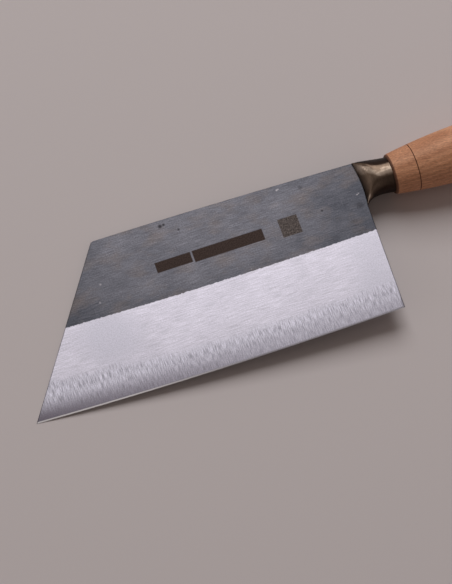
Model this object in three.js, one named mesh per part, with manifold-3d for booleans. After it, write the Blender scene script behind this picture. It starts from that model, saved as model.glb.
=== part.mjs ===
// A K-tip bunka knife with a tall, laminated blade, a cast brass bolster and a turned wooden handle.
// Millimetres. The knife is drawn along its handle axis, with +X to the butt, +Y to the spine and +Z out of
// the blade's left face.
// X = 0 is where the bolster meets the handle. The finished knife is laid down on a table, +Z up.
import * as THREE from "three";
import { mergeVertices } from "three/addons/utils/BufferGeometryUtils.js";
import Module from "manifold-3d";

const wasm = await Module();
wasm.setup();

// Blade outline, measured from the handle axis
const EDGE_LENGTH = 210;
const EDGE_BELLY = 1.8;
const TIP_DROP = 74;
const HEEL_DROP = 76.6;
const HEEL_SETBACK = 2;
const SPINE_LENGTH = 153;
const SPINE_RISE_REAR = 12.9;
const SPINE_RISE_FRONT = 15.9;
const SPINE_CROWN = 0.6;
const SPINE_CORNER_RADIUS = 1.6;

// Blade thickness: two flat faces that taper to the front, ground from a line parallel to the edge
const SPINE_THICKNESS_REAR = 2.8;
const SPINE_THICKNESS_FRONT = 2.3;
const GRIND_HEIGHT = 47.6;
const GRIND_THICKNESS = 2.3;
const GRIND_ROUNDING = 0.9;
const BEVEL_HEIGHT = 0.8;
const BEVEL_THICKNESS = 0.24;

// Three layers, the hard one in the middle
const CORE_THICKNESS = 0.8;
const WELD_LINE = 0.04;

// Tang
const TANG_THICKNESS = 2.2;
const TANG_ROOT_DEPTH = 7.5;
const TANG_HEIGHT_FRONT = 11;
const TANG_HEIGHT_REAR = 7;
const TANG_ROD_DIAMETER = 5;
const TANG_ROD_LENGTH = 12;
const PEEN_DIAMETER = 8.4;
const PEEN_HEIGHT = 2;

// Bolster
const BOLSTER_LENGTH = 18.2;
const BOLSTER_BOW = 1.2;
const COLLAR_DIAMETER = 20.3;
const WING_DROP = 13.6;
const WING_WALL = 1.4;
const CHEEK = 0.7;
const NECK_HOLLOW = 1;
const RIDGE_ANGLE = THREE.MathUtils.degToRad(65);
const CREST_ANGLE = THREE.MathUtils.degToRad(111);

// Handle
const HANDLE_LENGTH = 105;
const HANDLE_FRONT_DIAMETER = 22.9;
const HANDLE_BELLY_DIAMETER = 32.2;
const HANDLE_BELLY_AT = 57;
const HANDLE_BUTT_DIAMETER = 26.4;
const HANDLE_RIM_RADIUS = 1.1;
const HANDLE_BUTT_ROUND = 7;
const GROOVE_AT = 13.7;
const GROOVE_WIDTH = 0.5;
const GROOVE_DEPTH = 0.35;

// Washer let into the butt
const WASHER_DIAMETER = 15;
const WASHER_THICKNESS = 1.2;
const WASHER_RECESS = 0.9;

// Fits
const SEAT_GAP = 0.1;
const SLOT_CLEARANCE = 0.2;
const CHANNEL_CLEARANCE = 0.3;

// Facets
const BLADE_STATIONS = 28;
const GRIND_STEPS = 6;
const BOLSTER_STATIONS = 18;
const TURNED_SIDES = 64;
const BARREL_STEPS = 22;
const ARC_STEPS = 6;

// Points of the outline that several pieces share
const spineRearX = -BOLSTER_LENGTH;
const spineFrontX = spineRearX - SPINE_LENGTH;
const heelX = spineRearX - HEEL_SETBACK;
const tipX = heelX - EDGE_LENGTH;
const rodStartX = HANDLE_LENGTH - TANG_ROD_LENGTH;
const tangEndX = rodStartX + TANG_ROD_DIAMETER / 2;
const washerSeatX = HANDLE_LENGTH - WASHER_RECESS;
const washerTopX = washerSeatX + SEAT_GAP + WASHER_THICKNESS;
const channelRadius = TANG_ROD_DIAMETER / 2 + CHANNEL_CLEARANCE;
const REACH = EDGE_LENGTH + HANDLE_LENGTH;

const steel = { metalness: 1, flatShading: true };
const CORE_FINISH = new THREE.MeshStandardMaterial({ ...steel, color: 0xb9b5bf, roughness: 0.32 });
const CLADDING_FINISH = new THREE.MeshStandardMaterial({ ...steel, color: 0x55585f, roughness: 0.55 });
const BRASS_FINISH = new THREE.MeshStandardMaterial({ ...steel, color: 0xa08c68, roughness: 0.28 });
const WASHER_FINISH = new THREE.MeshStandardMaterial({ ...steel, color: 0x8c8f94, roughness: 0.4 });
const WOOD_FINISH = new THREE.MeshStandardMaterial({ color: 0x9a6648, roughness: 0.5, flatShading: true });

// Solids from geometry, and geometry from solids
function solid(geometry) {
  geometry.deleteAttribute("normal");
  geometry.deleteAttribute("uv");
  const merged = mergeVertices(geometry);
  const vertProperties = merged.getAttribute("position").array;
  const triVerts = new Uint32Array(merged.index.array);
  return new wasm.Manifold(new wasm.Mesh({ numProp: 3, vertProperties, triVerts }));
}

function piece(name, shape, material) {
  const { vertProperties, triVerts } = shape.getMesh();
  const geometry = new THREE.BufferGeometry();
  geometry.setAttribute("position", new THREE.BufferAttribute(vertProperties, 3));
  geometry.setIndex(new THREE.BufferAttribute(triVerts, 1));
  const mesh = new THREE.Mesh(geometry, material);
  mesh.name = name;
  return mesh;
}

// A solid of revolution about X from [x, radius] points that run from the axis back to the axis
function turned(profile) {
  const points = profile.map(([x, radius]) => new THREE.Vector2(radius, x));
  return solid(new THREE.LatheGeometry(points, TURNED_SIDES).rotateZ(-Math.PI / 2));
}

// A plate of the given outline, centred on the blade's middle plane
function plate(outline, thickness) {
  const settings = { depth: thickness, bevelEnabled: false, curveSegments: BOLSTER_STATIONS };
  return solid(new THREE.ExtrudeGeometry(outline, settings).translate(0, 0, -thickness / 2));
}

// A skin through closed sections of equal point count, with its two ends capped as strips across Z
function loft(sections) {
  const count = sections[0].length;
  const index = [];
  for (let s = 0; s + 1 < sections.length; s++) {
    for (let p = 0; p < count; p++) {
      const a = s * count + p;
      const b = s * count + ((p + 1) % count);
      index.push(a, b, b + count, a, b + count, a + count);
    }
  }
  const last = (sections.length - 1) * count;
  for (let low = 0, high = count - 1; high - low > 1; low++, high--) {
    const cap = [low, high, high - 1];
    if (high - low > 2) {
      cap.push(low, high - 1, low + 1);
    }
    index.push(...cap);
    index.push(...cap.map((p) => last + p).reverse());
  }
  const geometry = new THREE.BufferGeometry().setFromPoints(sections.flat());
  geometry.setIndex(index);
  return solid(geometry);
}

// Blade: the edge's height, and the half thickness of the flat face, which is a plane in x and y
function edgeY(x) {
  const along = (x - tipX) / EDGE_LENGTH;
  const chord = THREE.MathUtils.lerp(-TIP_DROP, -HEEL_DROP, along);
  return chord - 4 * EDGE_BELLY * along * (1 - along);
}

function flatHalf(x, y) {
  const grindY = edgeY(heelX) + GRIND_HEIGHT;
  const perY = (SPINE_THICKNESS_REAR - GRIND_THICKNESS) / (SPINE_RISE_REAR - grindY);
  const rise = (SPINE_RISE_FRONT - SPINE_RISE_REAR) * perY;
  const perX = (SPINE_THICKNESS_REAR - SPINE_THICKNESS_FRONT + rise) / SPINE_LENGTH;
  return (SPINE_THICKNESS_REAR + (x - spineRearX) * perX + (y - SPINE_RISE_REAR) * perY) / 2;
}

// Half thickness of the ground face at a height over the edge
function groundHalf(x, height) {
  const bevel = BEVEL_THICKNESS / 2;
  const top = flatHalf(x, edgeY(x) + GRIND_HEIGHT);
  const share = (height - BEVEL_HEIGHT) / (GRIND_HEIGHT - BEVEL_HEIGHT);
  return bevel + (top - bevel) * share ** GRIND_ROUNDING;
}

// Section of the forged and ground bar at x, from the edge up the right face and down the left
function bladeSection(x) {
  const edge = edgeY(x);
  const face = [];
  for (let step = 0; step <= GRIND_STEPS; step++) {
    const height = BEVEL_HEIGHT + (GRIND_HEIGHT - BEVEL_HEIGHT) * (step / GRIND_STEPS) ** 2;
    face.push([edge + height, groundHalf(x, height)]);
  }
  const above = SPINE_RISE_FRONT + 2 * SPINE_CROWN + SPINE_CORNER_RADIUS;
  face.push([above, flatHalf(x, above)]);
  const right = face.map(([y, half]) => new THREE.Vector3(x, y, -half));
  const left = face.map(([y, half]) => new THREE.Vector3(x, y, half)).reverse();
  return [new THREE.Vector3(x, edge, 0), ...right, ...left];
}

// Outline that trims the bar: K-tip, spine, curved rear under the bolster and heel
function bladeOutline() {
  const rear = spineRearX - SEAT_GAP;
  const corner = new THREE.Vector2(spineFrontX, SPINE_RISE_FRONT);
  const tip = new THREE.Vector2(tipX, -TIP_DROP);
  const down = tip.clone().sub(corner).normalize();
  const kStart = corner.clone().addScaledVector(down, SPINE_CORNER_RADIUS);
  const kEnd = tip.clone().addScaledVector(down, 4 * EDGE_BELLY);
  const crown = new THREE.Vector2(rear + spineFrontX, SPINE_RISE_FRONT + SPINE_RISE_REAR + 4 * SPINE_CROWN);
  crown.divideScalar(2);
  const heelFall = (4 * EDGE_BELLY) / (HEEL_DROP - WING_DROP);
  const outline = new THREE.Shape();
  outline.moveTo(kEnd.x, kEnd.y);
  outline.lineTo(heelX - HEEL_SETBACK * heelFall, -HEEL_DROP - 4 * EDGE_BELLY);
  outline.lineTo(rear, -WING_DROP);
  outline.quadraticCurveTo(rear + 2 * BOLSTER_BOW, (SPINE_RISE_REAR - WING_DROP) / 2, rear, SPINE_RISE_REAR);
  outline.quadraticCurveTo(crown.x, crown.y, corner.x + SPINE_CORNER_RADIUS, corner.y);
  outline.quadraticCurveTo(corner.x, corner.y, kStart.x, kStart.y);
  return outline;
}

// Tang outline, grown all round by a clearance: a root as tall as the wing allows, then a long taper
function tangOutline(endX, clearance) {
  const rootTop = SPINE_RISE_REAR - WING_WALL + clearance;
  const rootBottom = -WING_DROP + WING_WALL - clearance;
  const neckX = spineRearX + TANG_ROOT_DEPTH;
  const front = TANG_HEIGHT_FRONT / 2 + clearance;
  const back = TANG_HEIGHT_REAR / 2 + clearance;
  const startX = spineRearX - TANG_ROOT_DEPTH;
  const outline = new THREE.Shape();
  outline.moveTo(startX, rootBottom);
  outline.lineTo(spineRearX, rootBottom);
  outline.quadraticCurveTo(spineRearX + clearance, -front, neckX, -front);
  outline.lineTo(endX, -back);
  outline.lineTo(endX, back);
  outline.lineTo(neckX, front);
  outline.quadraticCurveTo(spineRearX + clearance, front, spineRearX, rootTop);
  outline.lineTo(startX, rootTop);
  return outline;
}

// The whole forging, before it is told apart into layers
function forging() {
  const fromX = tipX - 4 * EDGE_BELLY;
  const toX = spineRearX + 2 * BOLSTER_BOW;
  const sections = [];
  for (let step = 0; step <= BLADE_STATIONS; step++) {
    sections.push(bladeSection(THREE.MathUtils.lerp(fromX, toX, step / BLADE_STATIONS)));
  }
  const bar = loft(sections);
  const blade = bar.intersect(plate(bladeOutline(), 2 * SPINE_THICKNESS_REAR));
  return blade.add(plate(tangOutline(tangEndX, 0), TANG_THICKNESS));
}

// The part of the forging between two heights in Z, as far back as endX
function layer(forged, bottom, top, endX) {
  const slab = new THREE.BoxGeometry(2 * REACH, 2 * REACH, top - bottom);
  slab.translate(endX - REACH, 0, (bottom + top) / 2);
  return forged.intersect(solid(slab));
}

// Round end of the tang, with the head that is peened over the washer
function tangRod() {
  const rod = TANG_ROD_DIAMETER / 2;
  const headX = washerTopX + SEAT_GAP;
  const profile = [[rodStartX, 0], [rodStartX, rod], [headX, rod]];
  for (let step = 0; step <= ARC_STEPS; step++) {
    const angle = (step / ARC_STEPS) * (Math.PI / 2);
    profile.push([headX + PEEN_HEIGHT * Math.sin(angle), (PEEN_DIAMETER / 2) * Math.cos(angle)]);
  }
  return turned(profile);
}

// Share of a change that has happened at a share of the way: evenly at 1, early above it and late below it
function eased(share, early) {
  return early < 1 ? share ** (1 / early) : 1 - (1 - share) ** early;
}

// Bolster rails, named by where they run. Each has its point at the blade, its angle from the top of the
// round collar, and how early it leaves the blade's height and swells to the collar's width
function bolsterRails() {
  const cheek = flatHalf(spineRearX, 0) + CHEEK;
  return [
    { name: "top", y: SPINE_RISE_REAR, z: 0, angle: 0, fall: 0.5, swell: 5, steps: 5 },
    { name: "ridge", y: SPINE_RISE_REAR, z: cheek, angle: RIDGE_ANGLE, fall: 2.8, swell: 6, steps: 8 },
    { name: "crest", y: CHEEK - WING_DROP, z: cheek, angle: CREST_ANGLE, fall: 3, swell: 4.2, steps: 8 },
    { name: "keel", y: -WING_DROP, z: 0, angle: Math.PI, fall: 5, swell: 2, steps: 0 },
  ];
}

// Half a section of the bolster at a share of its length, from the top round to the keel
function bolsterHalf(rails, share) {
  const radius = COLLAR_DIAMETER / 2;
  const half = [];
  const at = (from, to, t, key) => THREE.MathUtils.lerp(from[key], to[key], t);
  for (let rail = 0; rail < rails.length; rail++) {
    const from = rails[rail];
    const to = rails[rail + 1] ?? from;
    for (let step = 0; step < Math.max(from.steps, 1); step++) {
      const t = step / Math.max(from.steps, 1);
      const angle = at(from, to, t, "angle");
      const fall = eased(share, at(from, to, t, "fall"));
      const swell = eased(share, at(from, to, t, "swell"));
      const bladeY = at(from, to, t, "y");
      const hollow = NECK_HOLLOW * Math.sin(Math.PI * share) * Math.max(0, -Math.cos(angle));
      const y = THREE.MathUtils.lerp(bladeY, radius * Math.cos(angle), fall) + hollow;
      const z = THREE.MathUtils.lerp(at(from, to, t, "z"), radius * Math.sin(angle), swell);
      const across = (2 * bladeY - SPINE_RISE_REAR + WING_DROP) / (SPINE_RISE_REAR + WING_DROP);
      const front = spineRearX + BOLSTER_BOW * (1 - across ** 2);
      half.push(new THREE.Vector3(THREE.MathUtils.lerp(front, -SEAT_GAP, share), y, z));
    }
  }
  return half;
}

function bolster() {
  const rails = bolsterRails();
  const sections = [];
  for (let step = 0; step <= BOLSTER_STATIONS; step++) {
    const left = bolsterHalf(rails, step / BOLSTER_STATIONS);
    const right = left.slice(1, -1).map((p) => new THREE.Vector3(p.x, p.y, -p.z));
    sections.push([...left, ...right.reverse()]);
  }
  const slot = plate(tangOutline(tangEndX, SLOT_CLEARANCE), TANG_THICKNESS + 2 * SLOT_CLEARANCE);
  return loft(sections).subtract(slot);
}

// Handle: barrel radius along the axis, swelling to the belly and drawing in to the butt
function barrelRadius(x) {
  const front = x < HANDLE_BELLY_AT;
  const end = front ? HANDLE_FRONT_DIAMETER : HANDLE_BUTT_DIAMETER;
  const reach = front ? HANDLE_BELLY_AT : HANDLE_LENGTH - HANDLE_BELLY_AT;
  const share = Math.abs(x - HANDLE_BELLY_AT) / reach;
  return (HANDLE_BELLY_DIAMETER - (HANDLE_BELLY_DIAMETER - end) * share ** 2) / 2;
}

function barrel(fromX, toX, steps) {
  const points = [];
  for (let step = 0; step <= steps; step++) {
    const x = THREE.MathUtils.lerp(fromX, toX, step / steps);
    points.push([x, barrelRadius(x)]);
  }
  return points;
}

function handleProfile() {
  const rimRadius = barrelRadius(HANDLE_RIM_RADIUS);
  const buttX = HANDLE_LENGTH - HANDLE_BUTT_ROUND;
  const buttRadius = barrelRadius(buttX);
  const recess = WASHER_DIAMETER / 2 + CHANNEL_CLEARANCE;
  const profile = [[0, 0]];
  for (let step = 0; step < ARC_STEPS; step++) {
    const angle = (step / ARC_STEPS) * (Math.PI / 2);
    const inset = HANDLE_RIM_RADIUS * (1 - Math.sin(angle));
    profile.push([HANDLE_RIM_RADIUS * (1 - Math.cos(angle)), rimRadius - inset]);
  }
  profile.push(...barrel(HANDLE_RIM_RADIUS, GROOVE_AT - GROOVE_WIDTH / 2, ARC_STEPS));
  profile.push([GROOVE_AT, barrelRadius(GROOVE_AT) - GROOVE_DEPTH]);
  profile.push(...barrel(GROOVE_AT + GROOVE_WIDTH / 2, buttX, BARREL_STEPS));
  for (let step = 1; step <= ARC_STEPS; step++) {
    const angle = (step / ARC_STEPS) * (Math.PI / 2);
    const reach = recess + SEAT_GAP;
    const radius = reach + (buttRadius - reach) * Math.cos(angle);
    profile.push([buttX + HANDLE_BUTT_ROUND * Math.sin(angle), radius]);
  }
  profile.push([HANDLE_LENGTH, recess], [washerSeatX, recess], [washerSeatX, 0]);
  return profile;
}

function handle() {
  const channelEndX = tangEndX + CHANNEL_CLEARANCE;
  const channel = plate(tangOutline(channelEndX, CHANNEL_CLEARANCE), TANG_THICKNESS + 2 * CHANNEL_CLEARANCE);
  const boreX = rodStartX - CHANNEL_CLEARANCE;
  const bore = turned([[boreX, 0], [boreX, channelRadius], [REACH, channelRadius], [REACH, 0]]);
  return turned(handleProfile()).subtract(channel).subtract(bore);
}

function buttWasher() {
  const bottom = washerSeatX + SEAT_GAP;
  const outer = WASHER_DIAMETER / 2;
  const ring = [[bottom, channelRadius], [bottom, outer], [washerTopX, outer], [washerTopX, channelRadius]];
  return turned([...ring, ring[0]]);
}

// Lying down: the plane under the right face that touches the K-tip's lower edge and the handle's belly
function restUp() {
  const onTip = (height) => {
    const share = height / (SPINE_RISE_FRONT + TIP_DROP);
    const x = THREE.MathUtils.lerp(tipX, spineFrontX, share);
    return new THREE.Vector3(x, height - TIP_DROP, -groundHalf(x, height - TIP_DROP - edgeY(x)));
  };
  const low = onTip(GRIND_HEIGHT / 2);
  const hinge = onTip(GRIND_HEIGHT).sub(low).normalize();
  const upright = new THREE.Vector3(0, 0, 1).addScaledVector(hinge, -hinge.z).normalize();
  const rings = barrel(0, HANDLE_LENGTH, TURNED_SIDES);
  const clearance = (up) => {
    const heights = rings.map(([x, radius]) => up.x * x - radius * Math.hypot(up.y, up.z));
    return Math.min(...heights) - up.dot(low);
  };
  let flat = 0;
  let steep = Math.PI / 4;
  for (let halving = 0; halving < TURNED_SIDES; halving++) {
    const angle = (flat + steep) / 2;
    const lifted = clearance(upright.clone().applyAxisAngle(hinge, angle)) > 0;
    flat = lifted ? flat : angle;
    steep = lifted ? angle : steep;
  }
  return upright.applyAxisAngle(hinge, flat);
}

const forged = forging();
const face = CORE_THICKNESS / 2 + WELD_LINE;
const claddingEnd = rodStartX - SEAT_GAP;
const core = layer(forged, -CORE_THICKNESS / 2, CORE_THICKNESS / 2, REACH).add(tangRod());

const knife = new THREE.Group();
knife.add(
  piece("steel_core", core, CORE_FINISH),
  piece("left_cladding", layer(forged, face, SPINE_THICKNESS_REAR, claddingEnd), CLADDING_FINISH),
  piece("right_cladding", layer(forged, -SPINE_THICKNESS_REAR, -face, claddingEnd), CLADDING_FINISH),
  piece("bolster", bolster(), BRASS_FINISH),
  piece("handle", handle(), WOOD_FINISH),
  piece("butt_washer", buttWasher(), WASHER_FINISH),
);
knife.quaternion.setFromUnitVectors(restUp(), new THREE.Vector3(0, 0, 1));
const box = new THREE.Box3().setFromObject(knife, true);
const middle = box.getCenter(new THREE.Vector3());
knife.position.set(-middle.x, -middle.y, -box.min.z);

const part = new THREE.Group();
part.add(knife);

export default part;
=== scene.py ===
"""A K-tip bunka knife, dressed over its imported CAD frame.

Run as a script, it sets up the floor, the lights and the camera, and builds the blade's three layers, the
cast bolster, the turned handle and the peened butt over the CAD nodes that they stand for.
"""

import math
from functools import partial

import bmesh
import bpy
from bpy.props import FloatProperty, FloatVectorProperty, IntProperty, PointerProperty
from bpy.types import Operator, Panel, PropertyGroup
from mathutils import Matrix, Quaternion, Vector


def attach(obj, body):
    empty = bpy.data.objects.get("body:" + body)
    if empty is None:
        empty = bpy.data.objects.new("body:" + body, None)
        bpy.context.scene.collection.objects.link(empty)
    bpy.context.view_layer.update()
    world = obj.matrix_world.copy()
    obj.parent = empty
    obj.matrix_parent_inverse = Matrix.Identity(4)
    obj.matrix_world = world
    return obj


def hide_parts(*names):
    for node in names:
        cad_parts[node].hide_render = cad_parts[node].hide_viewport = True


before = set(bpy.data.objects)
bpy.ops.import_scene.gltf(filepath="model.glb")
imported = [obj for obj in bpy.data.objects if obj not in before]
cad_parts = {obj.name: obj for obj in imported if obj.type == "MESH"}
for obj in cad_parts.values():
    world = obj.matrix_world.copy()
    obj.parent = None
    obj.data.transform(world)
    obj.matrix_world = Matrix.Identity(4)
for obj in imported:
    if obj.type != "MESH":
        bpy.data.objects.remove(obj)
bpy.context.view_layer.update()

bl_info = {
    "name": "Bunka knife",
    "version": (1, 0, 0),
    "blender": (4, 5, 0),
    "location": "3D View > Sidebar > Knife",
    "description": "Builds a K-tip bunka knife with a laminated blade, a brass bolster and a turned handle",
    "category": "Mesh",
}

MM = 0.001

# The knife is drawn in metres along its handle axis, +X to the butt, +Y to the spine and +Z out of the left
# face, with X = 0 at the joint of bolster and handle. This turn and shift lay it down as the CAD has it.
REST_TURN = Quaternion((0.9993726677, -0.0138234185, -0.0326065037, 0.0))
REST_SHIFT = Vector((0.0612512113, 0.0306204023, 0.0130946200))
REST = Matrix.Translation(REST_SHIFT) @ REST_TURN.to_matrix().to_4x4()

# The finer facets of the pieces would stand a hair proud of the CAD's, so they are drawn a hair smaller
HAIR = Matrix.Scale(0.9998, 4)

SEAT_GAP = 0.1 * MM
WELD_LINE = 0.04 * MM
OUTLINE_MARGIN = 5 * MM
HALVINGS = 40
SHARP_ANGLE = math.radians(28)
DOUBLES_APART = 1e-7
DEGENERATE = 1e-8

# Kinds of node that are used over and over, and their settings
MATH = "ShaderNodeMath"
VECTOR_MATH = "ShaderNodeVectorMath"
MIX = "ShaderNodeMix"
NOISE = "ShaderNodeTexNoise"
RANGE = "ShaderNodeMapRange"
MAPPING = "ShaderNodeMapping"
ATTRIBUTE = "ShaderNodeAttribute"
SPLIT = "ShaderNodeSeparateXYZ"
JOIN = "ShaderNodeCombineXYZ"
BUMP = "ShaderNodeBump"
PLUS = {"operation": "ADD"}
MINUS = {"operation": "SUBTRACT"}
TIMES = {"operation": "MULTIPLY"}
OVER = {"operation": "DIVIDE"}
BLEND = {"data_type": "RGBA"}
TINT = {"data_type": "RGBA", "blend_type": "MULTIPLY"}
SMOOTH = {"interpolation_type": "SMOOTHSTEP"}
INWARD = {"vector_type": "TEXTURE"}

# Nearly all of a noise lies in this span. A round mark is solid and fades out at these shares of its radius.
NOISE_SPAN = (0.3, 0.7)
NOISE_ROUGHNESS = 0.6
MARK_SOLID = 0.5
MARK_FADE = 1.3


def linear(hex_colour):
    """The linear RGB of an sRGB hex colour."""
    channels = [int(hex_colour[start : start + 2], 16) / 255 for start in (1, 3, 5)]
    return tuple(c / 12.92 if c <= 0.04045 else ((c + 0.055) / 1.055) ** 2.4 for c in channels)


def length(name, description, millimetres):
    """A length property, given in millimetres and kept in metres."""
    return FloatProperty(
        name=name, description=description, default=millimetres * MM, unit="LENGTH", precision=5
    )


def degrees(name, description, value):
    """An angle property, given in degrees and kept in radians."""
    return FloatProperty(name=name, description=description, default=math.radians(value), subtype="ANGLE")


def amount(name, description, value, low=0, high=100):
    """A plain number property within its limits."""
    return FloatProperty(name=name, description=description, default=value, min=low, max=high)


def colour(name, description, hex_colour):
    """A colour property, given as an sRGB hex colour."""
    return FloatVectorProperty(
        name=name, description=description, default=linear(hex_colour), subtype="COLOR", min=0, max=1
    )


class BladeSizes(PropertyGroup):
    """Outline, thickness and layers of the blade."""

    edge_length: length("Edge length", "Cutting edge from tip to heel", 210)
    edge_belly: length("Edge belly", "How far the edge bows below its chord", 1.8)
    tip_drop: length("Tip drop", "Tip below the handle axis", 74)
    heel_drop: length("Heel drop", "Heel below the handle axis", 76.6)
    heel_setback: length("Heel setback", "Heel in front of the bolster joint", 2)
    spine_length: length("Spine length", "Spine from the K-tip corner to the bolster", 153)
    spine_rise_rear: length("Spine rise, rear", "Spine over the handle axis at the bolster", 12.9)
    spine_rise_front: length("Spine rise, front", "Spine over the handle axis at the K-tip", 15.9)
    spine_crown: length("Spine crown", "How far the spine bows above its chord", 0.6)
    corner_round: length("Corner round", "Rounding where the K-tip meets the spine", 1.6)
    thickness_rear: length("Thickness, rear", "Spine thickness at the bolster", 2.8)
    thickness_front: length("Thickness, front", "Spine thickness at the K-tip", 2.3)
    grind_height: length("Grind height", "Grind line over the edge", 47.6)
    grind_thickness: length("Grind thickness", "Blade thickness at the grind line", 2.3)
    grind_rounding: amount("Grind rounding", "Below 1 the ground face is convex", 0.9, 0.5, 1)
    bevel_height: length("Bevel height", "Height of the honed bevel", 0.8)
    bevel_thickness: length("Bevel thickness", "Thickness at the top of the honed bevel", 0.24)
    core_thickness: length("Core thickness", "Thickness of the hard middle layer", 0.8)
    edge_break: length("Edge break", "Chamfer that eases the spine and the ends", 0.2)


class BolsterSizes(PropertyGroup):
    """Cast bolster between blade and handle."""

    length: length("Length", "From the blade to the handle", 18.2)
    bow: length("Bow", "How far the blade joint bows to the rear", 1.2)
    collar_diameter: length("Collar diameter", "Round end at the handle", 20.3)
    wing_drop: length("Wing drop", "Lower wing tip below the handle axis", 13.6)
    cheek: length("Cheek", "How far the bolster stands out of the blade's face", 0.7)
    neck_hollow: length("Neck hollow", "How far the underside is hollowed", 1)
    ridge_angle: degrees("Ridge angle", "Upper ridge on the collar, from its top", 65)
    crest_angle: degrees("Crest angle", "Lower crest on the collar, from its top", 111)


class HandleSizes(PropertyGroup):
    """Turned wooden handle."""

    length: length("Length", "From the bolster to the butt", 105)
    front_diameter: length("Front diameter", "At the bolster", 22.9)
    belly_diameter: length("Belly diameter", "At the thickest place", 32.2)
    belly_at: length("Belly position", "Thickest place, from the bolster", 57)
    butt_diameter: length("Butt diameter", "Where the barrel would end without its round", 26.4)
    rim: length("Front rim", "Rounding of the front rim", 1.1)
    butt_round: length("Butt round", "Length of the rounding at the butt", 7)
    groove_at: length("Groove position", "Middle of the scorched groove", 13.7)
    groove_width: length("Groove width", "Width of the scorched groove", 0.5)
    groove_depth: length("Groove depth", "Depth of the scorched groove", 0.35)
    sides: IntProperty(name="Sides", description="Facets round the handle", default=160, min=24)


class ButtSizes(PropertyGroup):
    """Washer and peened tang end at the butt."""

    washer_diameter: length("Washer diameter", "Outside of the washer", 15)
    washer_thickness: length("Washer thickness", "Thickness of the washer", 1.2)
    recess: length("Recess", "How deep the washer is let in", 0.9)
    clearance: length("Clearance", "Gap round the washer and in its hole", 0.3)
    tang_diameter: length("Tang diameter", "Round end of the tang", 5)
    peen_diameter: length("Peen diameter", "Head that holds the washer", 8.4)
    peen_height: length("Peen height", "Height of that head", 2)


class Finishes(PropertyGroup):
    """Colours of the finishes."""

    scale_dark: colour("Forge scale, dark", "Blackened face where the scale is thick", "#494A51")
    scale_light: colour("Forge scale, light", "Where the scale is brushed thin", "#66656C")
    scale_brown: colour("Forge scale, brown", "Faint rust under the scale", "#6A605C")
    nick: colour("Nick", "Bare iron in nicks and specks of the scale", "#A5A0A4")
    # This pit colour also paints a line of shade along the blade's ends
    pit: colour("Pit", "Dark pits in the scale, and the cut ends of the blade", "#2A282B")
    panel: colour("Etched panel", "Bare etched panels on the left face", "#332A27")
    square: colour("Etched square", "Bare speckled square on the left face", "#403A38")
    ground: colour("Ground iron", "Belt-ground band of the cladding", "#BAB6C1")
    haze: colour("Stone haze", "Hazy band that the stone leaves", "#B0ADB8")
    # This deep haze colour is painted shade in the haze, towards the tip and the edge
    haze_deep: colour("Stone haze, deep", "Haze towards the tip and the edge", "#67616A")
    # The bevel's near-white colour is a painted highlight
    bevel: colour("Honed bevel", "Bright bevel of the edge", "#F2EFF2")
    brass: colour("Aged brass", "Handled flanks of the bolster", "#6E5D50")
    # This rubbed colour also paints highlights on the bolster's ridge and crest, and lightens its lit patch
    brass_rubbed: colour("Rubbed brass", "Rubbed places and nicks of the bolster", "#E4CFBC")
    # This patina colour also paints shade on the bolster's lower flank and underside
    patina: colour("Brass patina", "Where the brass is never rubbed", "#2B1F19")
    wood_light: colour("Wood, light", "Early wood", "#D69D79")
    wood_dark: colour("Wood, dark", "Late wood", "#B87E5C")
    wood_fleck: colour("Wood fleck", "Short pores and rays", "#7A4630")
    # This dark wood colour also paints shade on the handle's front rim
    scorch: colour("Dark wood", "Groove and oiled front rim", "#3A1D13")
    washer: colour("Washer steel", "Plain washer and peened head", "#8E9095")
    floor: colour("Floor", "Plain pale floor", "#D2C9C9")


class StageSettings(PropertyGroup):
    """Light and camera."""

    key: amount("Softbox", "Radiance of the large softbox", 4.9)
    fill: amount("Fill", "Radiance of the fill card at the left", 0.75)
    room: amount("Room", "Radiance of the room around", 0.16)
    walls: amount("Walls", "Radiance of the walls that metal shows", 0.6)
    elevation: degrees("Camera elevation", "Above the plane of the blade", 70)
    turn: degrees("Knife turn", "Handle axis against the picture's horizontal", 19.1)
    distance: length("Camera distance", "To the plane of the blade", 988.1)


class KnifeSettings(PropertyGroup):
    """All sizes, colours and stage settings of the knife."""

    blade: PointerProperty(type=BladeSizes)
    bolster: PointerProperty(type=BolsterSizes)
    handle: PointerProperty(type=HandleSizes)
    butt: PointerProperty(type=ButtSizes)
    finishes: PointerProperty(type=Finishes)
    stage: PointerProperty(type=StageSettings)


def settings():
    return bpy.context.scene.bunka_knife


def lerp(low, high, share):
    return low + (high - low) * share


def ramp(value, start, stop):
    """How far a value has come from a start to a stop, from 0 to 1."""
    return min(1.0, max(0.0, (value - start) / (stop - start)))


def feed(tree, made, inputs):
    """Gives a node's inputs, by name or in their order, values or links to other nodes or sockets."""
    for key, value in inputs.items() if isinstance(inputs, dict) else enumerate(inputs):
        enabled = [socket for socket in made.inputs if socket.enabled]
        named = [socket for socket in enabled if socket.name == key]
        socket = named[0] if named else enabled[key]
        if isinstance(value, bpy.types.Node):
            value = next(output for output in value.outputs if output.enabled)
        if isinstance(value, bpy.types.NodeSocket):
            tree.links.new(value, socket)
        elif socket.type == "RGBA":
            socket.default_value = (*value, 1)
        else:
            socket.default_value = value


def node(tree, kind, inputs=(), **options):
    """Adds a node with its settings and inputs."""
    made = tree.nodes.new(kind)
    for name, value in options.items():
        setattr(made, name, value)
    feed(tree, made, inputs)
    return made


def new_finish(name):
    """A new node material, what adds a node to it, and what feeds its shader."""
    material = bpy.data.materials.new(name)
    material.use_nodes = True
    tree = material.node_tree
    shader = next(n for n in tree.nodes if n.type == "BSDF_PRINCIPLED")
    return material, partial(node, tree), partial(feed, tree, shader)


def knife_millimetres(add):
    """Object coordinates turned back into the knife's own frame, in millimetres."""
    at = add("ShaderNodeTexCoord").outputs["Object"]
    turn = REST_TURN.to_euler()
    values = {"Vector": at, "Location": REST_SHIFT, "Rotation": turn, "Scale": (MM, MM, MM)}
    return add(MAPPING, values, **INWARD)


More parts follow.
